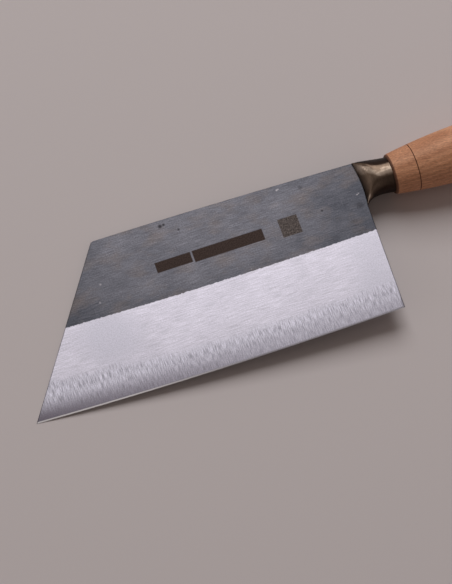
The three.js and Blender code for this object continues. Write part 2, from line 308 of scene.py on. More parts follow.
def grain(add, place, size, low, high, detail=3.0):
    """Grain of a size in millimetres: its noise, and the tone that it gives a colour."""
    at = add(MAPPING, {"Vector": place, "Scale": [1 / mm for mm in size]})
    values = {"Vector": at, "Scale": 1.0, "Detail": detail, "Roughness": NOISE_ROUGHNESS}
    noise = add(NOISE, values)
    return noise, add(RANGE, (noise, *NOISE_SPAN, low, high))


def marked(add, place, body, marks, tint):
    """A colour with round marks: each has its place and radius in millimetres, and its strength."""
    for *spot, radius, strength in marks:
        away = add(VECTOR_MATH, (place, spot), operation="DISTANCE").outputs["Value"]
        hit = add(RANGE, (away, MARK_FADE * radius, MARK_SOLID * radius, 0.0, strength))
        body = add(MIX, (hit, body, tint), **BLEND)
    return body


class BladeForm:
    """Outline and thickness of the blade in the knife's frame.

    A level runs from 0 at the edge over 1 at the top of the bevel, 2 where the core comes out between the
    claddings and 3 at the grind line to 4 at the spine.
    """

    def __init__(self, blade, bolster):
        self.blade = blade
        self.bolster = bolster
        self.spine_rear = -bolster.length
        self.rear = self.spine_rear - SEAT_GAP
        self.spine_front = self.spine_rear - blade.spine_length
        self.heel = self.spine_rear - blade.heel_setback
        self.tip = self.heel - blade.edge_length

    def edge(self, x):
        share = (x - self.tip) / self.blade.edge_length
        chord = lerp(-self.blade.tip_drop, -self.blade.heel_drop, share)
        return chord - 4 * self.blade.edge_belly * share * (1 - share)

    def spine(self, x):
        share = (x - self.spine_front) / (self.rear - self.spine_front)
        chord = lerp(self.blade.spine_rise_front, self.blade.spine_rise_rear, share)
        crown = 4 * self.blade.spine_crown * share * (1 - share)
        return chord + crown - self.corner_drop(x - self.spine_front)

    def corner_drop(self, x):
        """How far the rounded K-tip corner falls below the sharp one, at a way behind the corner."""
        b = self.blade
        reach = b.corner_round
        lean = Vector((self.spine_front - self.tip, b.spine_rise_front + b.tip_drop)).normalized() * reach
        if x >= reach:
            return 0
        curve = reach - lean.x
        turn = reach**2 - curve * (reach - max(x, -lean.x))
        share = (reach - math.sqrt(max(turn, 0))) / curve
        return lean.y * share**2

    def wing_level(self):
        """Level of the bolster's wing tip at the rear."""
        low = self.edge(self.rear) + self.blade.grind_height
        return 3 + (-self.bolster.wing_drop - low) / (self.spine(self.rear) - low)

    def flat_half(self, x, y):
        b = self.blade
        grind_y = self.edge(self.heel) + b.grind_height
        per_y = (b.thickness_rear - b.grind_thickness) / (b.spine_rise_rear - grind_y)
        rise = (b.spine_rise_front - b.spine_rise_rear) * per_y
        per_x = (b.thickness_rear - b.thickness_front + rise) / b.spine_length
        return (b.thickness_rear + (x - self.spine_rear) * per_x + (y - b.spine_rise_rear) * per_y) / 2

    def grind_top(self, x):
        return self.flat_half(x, self.edge(x) + self.blade.grind_height)

    def half(self, x, y):
        """Half thickness of the finished blade at a place."""
        b = self.blade
        height = y - self.edge(x)
        bevel = b.bevel_thickness / 2
        if height >= b.grind_height:
            return self.flat_half(x, y)
        if height <= b.bevel_height:
            return bevel * max(height, 0) / b.bevel_height
        share = (height - b.bevel_height) / (b.grind_height - b.bevel_height)
        return bevel + (self.grind_top(x) - bevel) * share**b.grind_rounding

    def weld_height(self, x):
        """Height over the edge at which the core comes out of the ground face."""
        b = self.blade
        bevel = b.bevel_thickness / 2
        core = b.core_thickness / 2 + WELD_LINE
        share = ((core - bevel) / (self.grind_top(x) - bevel)) ** (1 / b.grind_rounding)
        return lerp(b.bevel_height, b.grind_height, share)

    def row_y(self, x, level):
        b = self.blade
        if level >= 3:
            return lerp(self.edge(x) + b.grind_height, self.spine(x), level - 3)
        heights = (0, b.bevel_height, self.weld_height(x), b.grind_height)
        low = int(level)
        return self.edge(x) + lerp(heights[low], heights[low + 1], level - low)

    def front_x(self, y):
        """The straight K-tip."""
        b = self.blade
        share = (y + b.tip_drop) / (b.spine_rise_front + b.tip_drop)
        return lerp(self.tip, self.spine_front, share)

    def rear_x(self, y):
        """The straight heel line below the bolster's wing, and the bowed joint above it."""
        b = self.blade
        wing = -self.bolster.wing_drop
        if y < wing:
            return lerp(self.rear, self.heel, (wing - y) / (b.heel_drop + wing))
        share = (y - wing) / (b.spine_rise_rear - wing)
        return self.rear + 4 * self.bolster.bow * share * (1 - share)

    def span(self, level):
        """Where a row starts at the K-tip and ends at the rear."""
        return (
            self.crossing(level, self.front_x, self.tip, self.spine_front),
            self.crossing(level, self.rear_x, self.heel, self.rear),
        )

    def crossing(self, level, end_x, low, high):
        """Where a row crosses one end of the outline, by halving."""
        low, high = low - OUTLINE_MARGIN, high + OUTLINE_MARGIN
        for _ in range(HALVINGS):
            middle = (low + high) / 2
            if middle < end_x(self.row_y(middle, level)):
                low = middle
            else:
                high = middle
        return high


def skin(name, loops):
    """A closed skin through loops that start at their lowest or highest point: its mesh and vertices."""
    count = len(loops[0])
    faces = []
    for loop in range(len(loops) - 1):
        for point in range(count):
            a, b = loop * count + point, loop * count + (point + 1) % count
            faces.append((a, b, b + count, a + count))
    last = (len(loops) - 1) * count
    for point in range((count + 1) // 2):
        if point + 1 > count - point - 1:
            break
        cap = dict.fromkeys((point, point + 1, count - point - 1, (count - point) % count))
        faces.append(tuple(cap))
        faces.append(tuple(last + corner for corner in cap))
    verts = [tuple(place) for loop in loops for place in loop]
    mesh = bpy.data.meshes.new(name)
    mesh.from_pydata(verts, [], faces)
    return mesh, verts


def smooth_outward(mesh, crisp=()):
    """Merges doubles, turns the faces outwards and shades them smooth, apart from sharp and crisp edges."""
    form = bmesh.new()
    form.from_mesh(mesh)
    form.verts.ensure_lookup_table()
    crisp_edges = [form.edges.get((form.verts[a], form.verts[b])) for a, b in crisp]
    for edge in form.edges:
        edge.smooth = True
    for edge in filter(None, crisp_edges):
        edge.smooth = False
    bmesh.ops.remove_doubles(form, verts=form.verts, dist=DOUBLES_APART)
    bmesh.ops.dissolve_degenerate(form, edges=form.edges, dist=DEGENERATE)
    bmesh.ops.recalc_face_normals(form, faces=form.faces)
    for face in form.faces:
        face.smooth = True
    for edge in form.edges:
        if edge.is_manifold and edge.calc_face_angle(0) > SHARP_ANGLE:
            edge.smooth = False
    form.to_mesh(mesh)
    form.free()


def add_object(name, data):
    """A new object in the scene, at the origin."""
    made = bpy.data.objects.new(name, data)
    bpy.context.scene.collection.objects.link(made)
    return made


def finish_piece(name, mesh, slot, cad_node):
    """Lays a mesh of the knife's frame down at rest and makes it the piece that stands for a CAD node."""
    mesh.transform(HAIR @ REST)
    mesh.name = name
    piece = add_object(name, mesh)
    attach(piece, "root")
    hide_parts(cad_node)


BLADE_COLUMNS = 150
CORNER_STEPS = (1, 2.2, 3.5, 5)
CORE_LEVELS = (0.5, 1, 1.06, 1.15, 1.3, 1.5, 1.7, 1.85, 2)
GROUND_LEVELS = (2.03, 2.08, 2.15, 2.25, 2.4, 2.55, 2.7, 2.82, 2.9, 2.95, 2.98, 3)
FLAT_LEVELS = (3.02, 3.06, 3.12, 3.2, 3.3, 3.42, 3.54, 3.66, 3.78, 3.88, 3.94, 3.98)


def blade_columns(form):
    """Shares along the blade, closer at the K-tip, and with one more at each end for the eased edge."""
    ease = form.blade.edge_break / form.blade.edge_length
    corner = [ease * step for step in CORNER_STEPS]
    inner = [column / BLADE_COLUMNS for column in range(1, BLADE_COLUMNS)]
    return [0, *corner, *inner, 1 - ease, 1]


def blade_row(form, level, shares, drop=0.0, inset=0.0, half=None):
    """One row of places on the left side, as (x, y, half thickness), eased at its two ends."""
    front, rear = form.span(level)
    row = []
    for column, share in enumerate(shares):
        x = lerp(front, rear, share)
        y = form.row_y(x, level)
        z = (form.half(x, y) if half is None else half) - inset
        if half is None and column in (0, len(shares) - 1):
            z = max(z - form.blade.edge_break, z / 2)
        row.append((x, y - drop, z))
    return row


def blade_mesh(name, form, rows_a, rows_b, crisp_rows):
    """A layer of the blade between two faces that share their first row, with its places as attributes."""
    loops = []
    for column in range(len(rows_a[0])):
        side_a = [row[column] for row in rows_a]
        side_b = [row[column] for row in rows_b[1:]]
        loops.append(side_a + side_b[::-1])
    mesh, verts = skin(name, loops)
    places, sides, ends = [], [], []
    for x, y, z in verts:
        places += [x / MM, y / MM, (y - form.edge(x)) / MM]
        sides.append(1.0 if z < 0 else 0.0)
        ends.append(min(x - form.front_x(y), form.rear_x(y) - x) / MM)
    mesh.attributes.new("blade_mm", "FLOAT_VECTOR", "POINT").data.foreach_set("vector", places)
    for field, values in (("right_side", sides), ("to_end_mm", ends)):
        mesh.attributes.new(field, "FLOAT", "POINT").data.foreach_set("value", values)
    count = len(loops[0])
    crisp = []
    for row in crisp_rows:
        for column in range(len(loops) - 1):
            crisp += [(column * count + p, (column + 1) * count + p) for p in (row, count - row)]
    smooth_outward(mesh, crisp)
    return mesh


def mirrored(rows):
    return [[(x, y, -z) for x, y, z in row] for row in rows]


# Grains of the blade: size in millimetres along it, up it and through it, the lowest and highest tone or
# shift that each gives, and its detail. Belt lines, brush lines and the stone's needles are really about
# 0.1 mm wide and are drawn 0.5 mm wide so that they show.
BELT_LINES = ((9, 0.5, 1), 0.84, 1.13, 1.0)
GROUND_MOTTLE = ((34, 20, 1), 0.94, 1.06, 4.0)
STONE_NEEDLES = ((0.5, 4.5, 1), 0.6, 1.4, 1.0)
STONE_GRIT = ((0.8, 0.5, 1), 0.91, 1.09, 0.0)
HAZE_FEATHER = ((0.5, 6, 1), -2.3, 2.3)
HAZE_SWAY = ((24, 60, 1), -1.0, 1.0)
LINE_WANDER = ((1.6, 1.6, 1), -0.3, 0.3)
SCALE_CLOUDS = ((26, 17, 1), 0.42, 1.18, 5.0)
RUST_CLOUDS = ((22, 13, 1), -0.45, 0.5)
BRUSH_LINES = ((8, 0.5, 1), 0.74, 1.29)
SCALE_GRIT = ((0.8, 0.8, 1), 0.84, 1.18, 1.0)
PANEL_GRIT = ((0.7, 0.7, 1), 0.72, 1.3, 1.0)
SQUARE_SPECKLE = ((0.9, 0.9, 1), 0.5, 1.9, 1.0)

# Changes over the blade: the two ends of each, in millimetres or as a share of the way from tip to heel, and
# the values there if they aren't 0 and 1
# Near the edge the needles calm down and the haze's painted shade sets in; that shade grows towards the tip
HAZE_DEEPENS = (13.5, 1.0)
HAZE_TO_TIP = (0.7, 0.0, 0.3)
HAZE_LIMIT = (0.0, 0.5, 21.0, 15.0)
HAZE_FADE = (2.5, -2.5)
# The bevel's painted highlight, brightest towards the tip
BEVEL_FADE = (0.85, 0.6)
BEVEL_SHINE = (0.25, 0.6, 1.0, 0.15)
GRIND_FADE = (-0.15, 0.15)
# A line of painted shade along the blade's ends
CUT_ENDS = (0.6, 0.2, 0.0, 0.75)
# Painted shade on the forge scale towards the heel, the tip and the grind line
DULL_HEEL = (-70.0, -20.0, 0.0, 0.7)
DULL_TIP = (-160.0, -205.0, 0.0, 0.75)
DULL_GRIND = (10.0, 0.0, 0.0, 0.3)

# Limits of the specks in the scale's grit, how far the needles calm down at the edge, and the roughness off
# the haze and in it
SPECKS = (0.74, 0.84, 0.0, 0.6)
NEEDLES_CALM = 0.35
STEEL_ROUGHNESS = (0.0, 1.0, 0.4, 0.46)
SCALE_ROUGHNESS = 0.5

# The right side's patterns are read this many millimetres from the left side's, so its marks aren't there
SIDES_APART = 40.0


def blade_steel(name, finishes, form):
    """Iron or steel of the blade.

    The belt leaves short bright lines along the edge, and the stone a dull haze of fine needles square to
    it, which fades out upwards; the haze is painted darker towards the edge and the tip as shade, and the
    bevel carries a painted highlight. Soft spots of painted shade and one small dull spot lie on the ground
    band. Over the grind line the forge scale stays: matt, dark grey and brushed lengthwise, with faint
    clouds of rust, specks and a few pits and nicks, and painted shade towards the heel, the tip and the
    grind line.
    The blade's ends carry a thin line of painted shade.
    """
    material, add, shade = new_finish(name)
    place = add(ATTRIBUTE, attribute_name="blade_mm").outputs["Vector"]
    side = add(ATTRIBUTE, attribute_name="right_side").outputs["Fac"]
    to_end = add(ATTRIBUTE, attribute_name="to_end_mm").outputs["Fac"]
    x, y, height = add(SPLIT, (place,)).outputs
    flat = add(JOIN, (x, y, add(MATH, (side, SIDES_APART), **TIMES)))
    along = add(RANGE, (x, form.tip / MM, form.heel / MM))

    # The belt-ground band
    belt, belt_tone = grain(add, flat, *BELT_LINES)
    ground = finishes.ground
    for tone in (belt_tone, grain(add, flat, *GROUND_MOTTLE)[1]):
        ground = add(MIX, (1.0, ground, tone), **TINT)
    # Soft spots of painted shade on the band, and one small dull spot
    ground = marked(add, flat, ground, DULL_SPOTS, finishes.haze)

    # The stone's needles, weaker next to the edge, in a haze painted darker towards the edge and the tip as
    # shade
    stone, stone_tone = grain(add, flat, *STONE_NEEDLES)
    low = add(RANGE, (height, *HAZE_DEEPENS), **SMOOTH)
    calm = add(MATH, (low, NEEDLES_CALM), **TIMES)
    stone_tone = add(MIX, (calm, stone_tone, 1.0))
    haze = add(MIX, (1.0, finishes.haze, stone_tone), **TINT)
    to_tip = add(RANGE, (along, *HAZE_TO_TIP))
    deep = add(MATH, (low, to_tip), **TIMES)
    haze = add(MIX, (deep, haze, finishes.haze_deep), **BLEND)

    # The haze ends 15 mm over the edge, and 21 mm over it at the tip, in a soft and ragged limit
    limit = add(RANGE, (along, *HAZE_LIMIT), **SMOOTH)
    over = add(MATH, (height, limit), **MINUS)
    for ragged in (HAZE_FEATHER, HAZE_SWAY):
        over = add(MATH, (over, grain(add, flat, *ragged)[1]), **PLUS)
    hazed = add(RANGE, (over, *HAZE_FADE), **SMOOTH)
    steel = add(MIX, (hazed, ground, haze), **BLEND)
    steel = add(MIX, (1.0, steel, grain(add, flat, *STONE_GRIT)[1]), **TINT)

    # A painted highlight on the honed bevel, brightest towards the tip
    bevelled = add(RANGE, (height, *BEVEL_FADE))
    shine = add(RANGE, (along, *BEVEL_SHINE))
    bevelled = add(MATH, (bevelled, shine), **TIMES)
    steel = add(MIX, (bevelled, steel, finishes.bevel), **BLEND)

    # The scale above a grind line that wanders a little, and a line of painted shade along the blade's ends
    over_grind = add(MATH, (height, form.blade.grind_height / MM), **MINUS)
    black, scale = forge_scale(add, finishes, flat, x, over_grind)
    line = add(MATH, (over_grind, grain(add, flat, *LINE_WANDER)[1]), **PLUS)
    scaled = add(RANGE, (line, *GRIND_FADE))
    cut = add(RANGE, (to_end, *CUT_ENDS))
    for share, cover in ((scaled, black), (cut, finishes.pit)):
        steel = add(MIX, (share, steel, cover), **BLEND)
    rough = add(RANGE, (hazed, *STEEL_ROUGHNESS))
    rough = add(MIX, (scaled, rough, SCALE_ROUGHNESS))
    relief = add(MIX, (hazed, belt, stone))
    relief = add(MIX, (scaled, relief, scale))
    bump = add(BUMP, {"Strength": 0.25, "Distance": 0.02 * MM, "Height": relief})
    shade({"Base Color": steel, "Roughness": rough, "Normal": bump, "Metallic": 1.0})
    return material


# Bare etched panels on the left face: middle and half size in millimetres of the knife's frame, and the
# softness of their limits
PANELS = (((-131.7, -10.8), (10.3, 3.1)), ((-99.8, -11.05), (20.5, 3.45)))
SQUARE = ((-63.75, -11.3), (5.65, 5.6))
PANEL_SOFT = 0.15

# Marks on the left face: place and radius in millimetres, and strength
# Spots on the ground band in the haze's colour: the three large ones are painted shade, the small one a dull
# spot
DULL_SPOTS = (
    (-178, -40, 0, 17, 1.0),
    (-27, -60, 0, 15, 0.8),
    (-27, -38, 0, 14, 0.6),
    (-62, -31, 0, 0.6, 1.0),
)
NICKS = (
    (-22.4, -5.9, 0, 0.35, 0.3),
    (-21.8, -5.8, 0, 0.45, 0.6),
    (-20.9, -5.4, 0, 0.4, 0.5),
    (-63.6, 11.3, 0, 0.6, 0.7),
    (-62.7, 11.6, 0, 0.5, 0.6),
    (-173.9, -9.9, 0, 0.6, 0.5),
    (-177.3, -19.9, 0, 0.6, 0.4),
)
PITS = (
    (-43.8, -8.6, 0, 0.7, 0.8),
    (-50.6, 8.6, 0, 1.2, 0.4),
    (-132.2, 12.0, 0, 1.2, 0.9),
    (-130.0, 12.3, 0, 0.8, 0.9),
    (-123.0, 6.9, 0, 0.7, 0.8),
    (-22.6, -12.3, 0, 2.2, 0.4),
)


def forge_scale(add, finishes, flat, x, over_grind):
    """Colour of the black forge scale with its marks and etched panels, painted darker towards the heel, the
    tip and the grind line as shade, and the clouds under it.
    """
    cloud, thin = grain(add, flat, *SCALE_CLOUDS)
    # Painted shade towards the heel, the tip and the grind line
    for way, dull in ((x, DULL_HEEL), (x, DULL_TIP), (over_grind, DULL_GRIND)):
        thin = add(MATH, (thin, add(RANGE, (way, *dull))), **MINUS)
    black = add(MIX, (thin, finishes.scale_dark, finishes.scale_light), **BLEND)
    rusted = grain(add, flat, *RUST_CLOUDS)[1]
    black = add(MIX, (rusted, black, finishes.scale_brown), **BLEND)
    grit, grit_tone = grain(add, flat, *SCALE_GRIT)
    for tone in (grain(add, flat, *BRUSH_LINES)[1], grit_tone):
        black = add(MIX, (1.0, black, tone), **TINT)
    specks = add(RANGE, (grit, *SPECKS))
    black = add(MIX, (specks, black, finishes.nick), **BLEND)
    black = marked(add, flat, black, NICKS, finishes.nick)
    black = marked(add, flat, black, PITS, finishes.pit)
    return etched_panels(add, finishes, flat, black), cloud


def etched_panels(add, finishes, flat, black):
    """Two dark panels and a speckled square, etched through the scale and left bare."""
    grit_tone = grain(add, flat, *PANEL_GRIT)[1]
    speckle_tone = grain(add, flat, *SQUARE_SPECKLE)[1]
    etched = [(panel, finishes.panel, grit_tone) for panel in PANELS]
    for (middle, half), ink, tone in (*etched, (SQUARE, finishes.square, speckle_tone)):
        values = {"Vector": flat, "Location": (*middle, 0), "Scale": (*half, 1)}
        local = add(MAPPING, values, **INWARD)
        away = add(VECTOR_MATH, (local,), operation="ABSOLUTE")
        inside = 1.0
        for far, reach in zip(add(SPLIT, (away,)).outputs, (*half, 1)):
            soft = PANEL_SOFT / reach
            near = add(RANGE, (far, 1 + soft, 1 - soft))
            inside = add(MATH, (near, inside), **TIMES)
        inked = add(MIX, (1.0, ink, tone), **TINT)
        black = add(MIX, (inside, black, inked), **BLEND)
    return black


class BUNKA_OT_blade(Operator):
    """Build the blade's hard core and its two iron claddings"""

    bl_idname = "bunka.blade"
    bl_label = "Build blade"

    def execute(self, context):
        knife = settings()
        form = BladeForm(knife.blade, knife.bolster)
        shares = blade_columns(form)
        core_half = knife.blade.core_thickness / 2
        core_steel = blade_steel("Carbon steel core, stone-polished", knife.finishes, form)
        iron = blade_steel("Soft iron cladding, forge-blackened and belt-ground", knife.finishes, form)
        levels = sorted((*GROUND_LEVELS, *FLAT_LEVELS, form.wing_level()))

        rows = [blade_row(form, 0, shares)]
        rows += [blade_row(form, level, shares) for level in CORE_LEVELS]
        rows += [blade_row(form, level, shares, half=core_half) for level in (*levels, 4)]
        crisp_rows = [1 + CORE_LEVELS.index(level) for level in (1, 2)]
        mesh = blade_mesh("blade_core", form, rows, mirrored(rows), crisp_rows)
        mesh.materials.append(core_steel)
        finish_piece("blade_core", mesh, "core_steel", "steel_core")

        ease = knife.blade.edge_break
        weld = core_half + WELD_LINE
        outer = [blade_row(form, 2, shares, half=weld)]
        outer += [blade_row(form, level, shares) for level in levels]
        outer += [blade_row(form, 4, shares, drop=ease), blade_row(form, 4, shares, inset=ease)]
        inner = [[(x, y, weld) for x, y, z in row] for row in outer]
        grind_row = 1 + levels.index(3)
        for name, turn in (("left", list), ("right", mirrored)):
            mesh = blade_mesh(f"blade_{name}_cladding", form, turn(outer), turn(inner), [grind_row])
            mesh.materials.append(iron)
            finish_piece(f"blade_{name}_cladding", mesh, "cladding_iron", f"{name}_cladding")
        return {"FINISHED"}


# Steps between two rails. The file rounds the lower crest over a reach of steps to each side, in few passes
# at the blade and in many at the collar.
BOLSTER_STATIONS = 48
RAIL_STEPS = (12, 24, 20)
CREST_REACH = 8
CREST_PASSES = (3, 40)


def bolster_rails(form, bolster):
    """Rails from the top round to the keel.

    Each has its height and half width at the blade, its angle on the collar, and how early it leaves that
    height and swells from that width: evenly at 1, at once above it and late below it.
    """
    cheek = form.flat_half(form.spine_rear, 0) + bolster.cheek
    rise = form.blade.spine_rise_rear
    return (
        (rise, 0, 0, 0.5, 5),
        (rise, cheek, bolster.ridge_angle, 2.8, 6),
        (bolster.cheek - bolster.wing_drop, cheek, bolster.crest_angle, 3, 4.2),
        (-bolster.wing_drop, 0, math.pi, 5, 2),
    )


def eased(share, early):
    """Share of a change that has happened at a share of the way."""
    return share ** (1 / early) if early < 1 else 1 - (1 - share) ** early


def bolster_point(form, bolster, rails, rail, step, share):
    """A place of the bolster's left half at a share of its length."""
    low, high = rails[rail], rails[min(rail + 1, len(rails) - 1)]
    blade_y, blade_z, angle, fall, swell = (lerp(a, b, step) for a, b in zip(low, high))
    radius = bolster.collar_diameter / 2
    hollow = bolster.neck_hollow * math.sin(math.pi * share) * max(0, -math.cos(angle))
    rise = form.blade.spine_rise_rear
    across = (2 * blade_y - rise + bolster.wing_drop) / (rise + bolster.wing_drop)
    front = form.spine_rear + bolster.bow * (1 - across**2)
    x = lerp(front, -SEAT_GAP, share)
    y = lerp(blade_y, radius * math.cos(angle), eased(share, fall)) + hollow
    z = lerp(blade_z, radius * math.sin(angle), eased(share, swell))
    return x, y, z


def filed_crest(points, share):
    """A half ring of the bolster with its lower crest rounded over, as the file leaves it."""
    crest = sum(RAIL_STEPS[:2])
    for _ in range(round(lerp(*CREST_PASSES, share))):
        sharp = [Vector(point) for point in points]
        for spot in range(crest - CREST_REACH, crest + CREST_REACH + 1):
            points[spot] = (sharp[spot - 1] + 2 * sharp[spot] + sharp[spot + 1]) / 4
    return points


def tarnish(rail, step, share):
    """How dark the brass is painted, from 0 where it is bright to 1 where it is black.

    It holds tarnish and wear, and painted light and shade as well: the patch behind the flank is painted
    lighter and darker to follow the softbox's reflection, the ridge and the crest carry painted highlights
    by the blade, and the lower flank, the joint with the blade and the underside carry painted shade. The
    step runs down from a rail to the next one, and the share from the blade to the handle.
    """
    by_blade = ramp(share, 0.26, 0.14)
    if rail == 0:
        return lerp(0.9, 1.0, step)
    if rail == 1:
        # The flank next to the blade, painted darker downwards and along the joint with the blade as shade
        flank = 0.2 + 0.06 * ramp(step, 0, 0.3) + 0.325 * ramp(step, 0.35, 1)
        flank += 0.17 * ramp(step, 0, 0.5) * ramp(share, 0.08, 0)

        # The patch behind it, painted lighter and darker to follow the softbox's reflection: brightest in
        # front, and dark under the ridge and above the crest
        worn = 0.18 + 0.1 * ramp(step, 0.64, 0.5) + 0.333 * ramp(step, 0.37, 0)
        handled = lerp(0.1, worn, ramp(share, 0.3, 0.45)) - 0.02 * ramp(share, 0.6, 0.7)
        handled += 0.5 * ramp(step, 0.15, 0) + 0.18 * ramp(step, 0.8, 1)
        patch = ramp(share - 0.48 * step, 0.03, 0.18)

        # Painted highlights on the ridge and the crest where they come out of the blade
        ridge = 0.4 * ramp(share, 0.2, 0.1) * ramp(abs(step - 0.2), 0.18, 0)
        crest = 0.65 * by_blade * ramp(step, 0.92, 1)
        return lerp(flank, handled, patch) * (1 - max(ridge, crest))
    if rail == 2:
        # The underside: tarnish and painted shade, with a painted highlight along the crest by the blade
        crest = 0.7 * by_blade * min(1.0, 1.6 * ramp(abs(step - 2.2 * share), 0.5, 0))
        return lerp(0.5, 1.0, min(1.0, 1.2 * step + 0.3 * share)) * (1 - crest)
    return 1.0


# Grains of the brass as for the blade, the two spans of darkness over which it turns to the bright colour
# and to black, and its roughness
BRASS_CLOUDS = ((2.5, 2.5, 2.5), -0.03, 0.03, 5.0)
FILE_MARKS = ((0.6, 2.5, 2.5), 0.86, 1.14)
BRASS_RUBBED = (0.3, 0.05)
BRASS_BLACK = (0.4, 0.95)
BRASS_ROUGHNESS = (0.0, 1.0, 0.4, 0.52)

# Pale nicks on the left flank, below the ridge
BRASS_NICKS = ((-14.25, 6.2, 7.4, 0.5, 0.8), (-13.75, 4.8, 7.75, 0.6, 0.9), (-12.95, 3.7, 8.3, 0.5, 0.9))


def aged_brass(finishes):
    """Cast brass, filed smooth and aged.

    The flanks are a soft tan, painted lighter where the softbox's reflection falls and darker lower down as
    shade; the lower crest and the ridge carry painted highlights by the blade. The top and the underside are
    dark brown, nearly black, with cloudy limits, the underside partly as painted shade, and the left flank
    has a few pale nicks.
    """
    material, add, shade = new_finish("Cast brass, filed and tarnished")
    place = knife_millimetres(add)
    worn = add(ATTRIBUTE, attribute_name="tarnish").outputs["Fac"]
    cloud, shift = grain(add, place, *BRASS_CLOUDS)
    dark = add(MATH, (worn, shift), **PLUS)
    body = finishes.brass
    for limits, cover in ((BRASS_RUBBED, finishes.brass_rubbed), (BRASS_BLACK, finishes.patina)):
        body = add(MIX, (add(RANGE, (dark, *limits)), body, cover), **BLEND)
    filed, file_tone = grain(add, place, *FILE_MARKS)
    body = add(MIX, (1.0, body, file_tone), **TINT)
    body = marked(add, place, body, BRASS_NICKS, finishes.brass_rubbed)
    rough = add(RANGE, (cloud, *BRASS_ROUGHNESS))
    bump = add(BUMP, {"Strength": 0.2, "Distance": 0.03 * MM, "Height": filed})
    shade({"Base Color": body, "Roughness": rough, "Normal": bump, "Metallic": 1.0})
    return material


class BUNKA_OT_bolster(Operator):
    """Build the cast brass bolster"""

    bl_idname = "bunka.bolster"
    bl_label = "Build bolster"

    def execute(self, context):
        knife = settings()
        form = BladeForm(knife.blade, knife.bolster)
        rails = bolster_rails(form, knife.bolster)
        ring = [(rail, step / steps) for rail, steps in enumerate(RAIL_STEPS) for step in range(steps)]
        ring.append((len(RAIL_STEPS), 0.0))
        loops, shade = [], []
        for station in range(BOLSTER_STATIONS + 1):
            share = station / BOLSTER_STATIONS
            cast = [bolster_point(form, knife.bolster, rails, *spot, share) for spot in ring]
            left = filed_crest(cast, share)
            dark = [tarnish(*spot, share) for spot in ring]
            loops.append(left + [(x, y, -z) for x, y, z in left[-2:0:-1]])
            shade += dark + dark[-2:0:-1]
        mesh, _ = skin("cast_bolster", loops)
        mesh.attributes.new("tarnish", "FLOAT", "POINT").data.foreach_set("value", shade)
        smooth_outward(mesh)
        mesh.materials.append(aged_brass(knife.finishes))
        finish_piece("cast_bolster", mesh, "cast_brass", "bolster")
        return {"FINISHED"}


TURNED_SOCKETS = {
    "Profile": "Geometry",
    "Sides": "Int",
    "Length": "Float",
    "Front diameter": "Float",
    "Belly diameter": "Float",
    "Belly position": "Float",
    "Butt diameter": "Float",
    "Material": "Material",
}
SEAM_GAP = 1e-6


def turned_tree():
    """Geometry nodes that turn a profile about X on a barrel.

    A profile point's x is its place on the axis, and its y its share of the barrel's radius there.
    """
    tree = bpy.data.node_groups.new("Turned barrel", "GeometryNodeTree")
    add = partial(node, tree)
    for name, kind in TURNED_SOCKETS.items():
        tree.interface.new_socket(name=name, in_out="INPUT", socket_type=f"NodeSocket{kind}")
    tree.interface.new_socket(name="Turned", in_out="OUTPUT", socket_type="NodeSocketGeometry")
    given = add("NodeGroupInput").outputs
    profile, sides, long, front, belly, belly_at, butt, material = (given[name] for name in TURNED_SOCKETS)

    # A grid with a row for each profile point, and one more column than sides, which closes the ring
    count = add("GeometryNodeAttributeDomainSize", {"Geometry": profile}).outputs["Point Count"]
    ring = add(MATH, (sides, 1.0), **PLUS)
    grid = add("GeometryNodeMeshGrid", (1.0, 1.0, count, ring))
    index = add("GeometryNodeInputIndex")
    station = add(MATH, (index, ring), **OVER)
    station = add(MATH, (station,), operation="FLOOR")
    step = add(MATH, (index, ring), operation="MODULO")
    values = {"Geometry": profile, "Value": add("GeometryNodeInputPosition"), "Index": station}
    point = add("GeometryNodeSampleIndex", values, data_type="FLOAT_VECTOR")
    x, share, _ = add(SPLIT, (point,)).outputs

    # Barrel: the diameter falls off with the square of the way from the belly to either end
    away = add(MATH, (x, belly_at), **MINUS)
    in_front = add(MATH, (away, 0.0), operation="LESS_THAN")
    behind = add(MATH, (long, belly_at), **MINUS)
    reach = add(MIX, (in_front, behind, belly_at))
    end = add(MIX, (in_front, butt, front))
    way = add(MATH, (away, reach), **OVER)
    bow = add(MATH, (way, way), **TIMES)
    loss = add(MATH, (belly, end), **MINUS)
    loss = add(MATH, (loss, bow), **TIMES)
    across = add(MATH, (belly, loss), **MINUS)
    radius = add(MATH, (across, 0.5), **TIMES)
    radius = add(MATH, (radius, share), **TIMES)

    turn = add(MATH, (step, sides), **OVER)
    turn = add(MATH, (turn, math.tau), **TIMES)
    turns = [add(MATH, (turn,), operation=side) for side in ("COSINE", "SINE")]
    y, z = (add(MATH, (side, radius), **TIMES) for side in turns)
    placed = add(JOIN, (x, y, z))
    turned = add("GeometryNodeSetPosition", {"Geometry": grid, "Position": placed})
    closed = add("GeometryNodeMergeByDistance", {"Geometry": turned, "Distance": SEAM_GAP})
    real = add("GeometryNodeRealizeInstances", {"Geometry": closed})
    finished = add("GeometryNodeSetMaterial", {"Geometry": real, "Material": material})
    add("NodeGroupOutput", {"Turned": finished})
    return tree


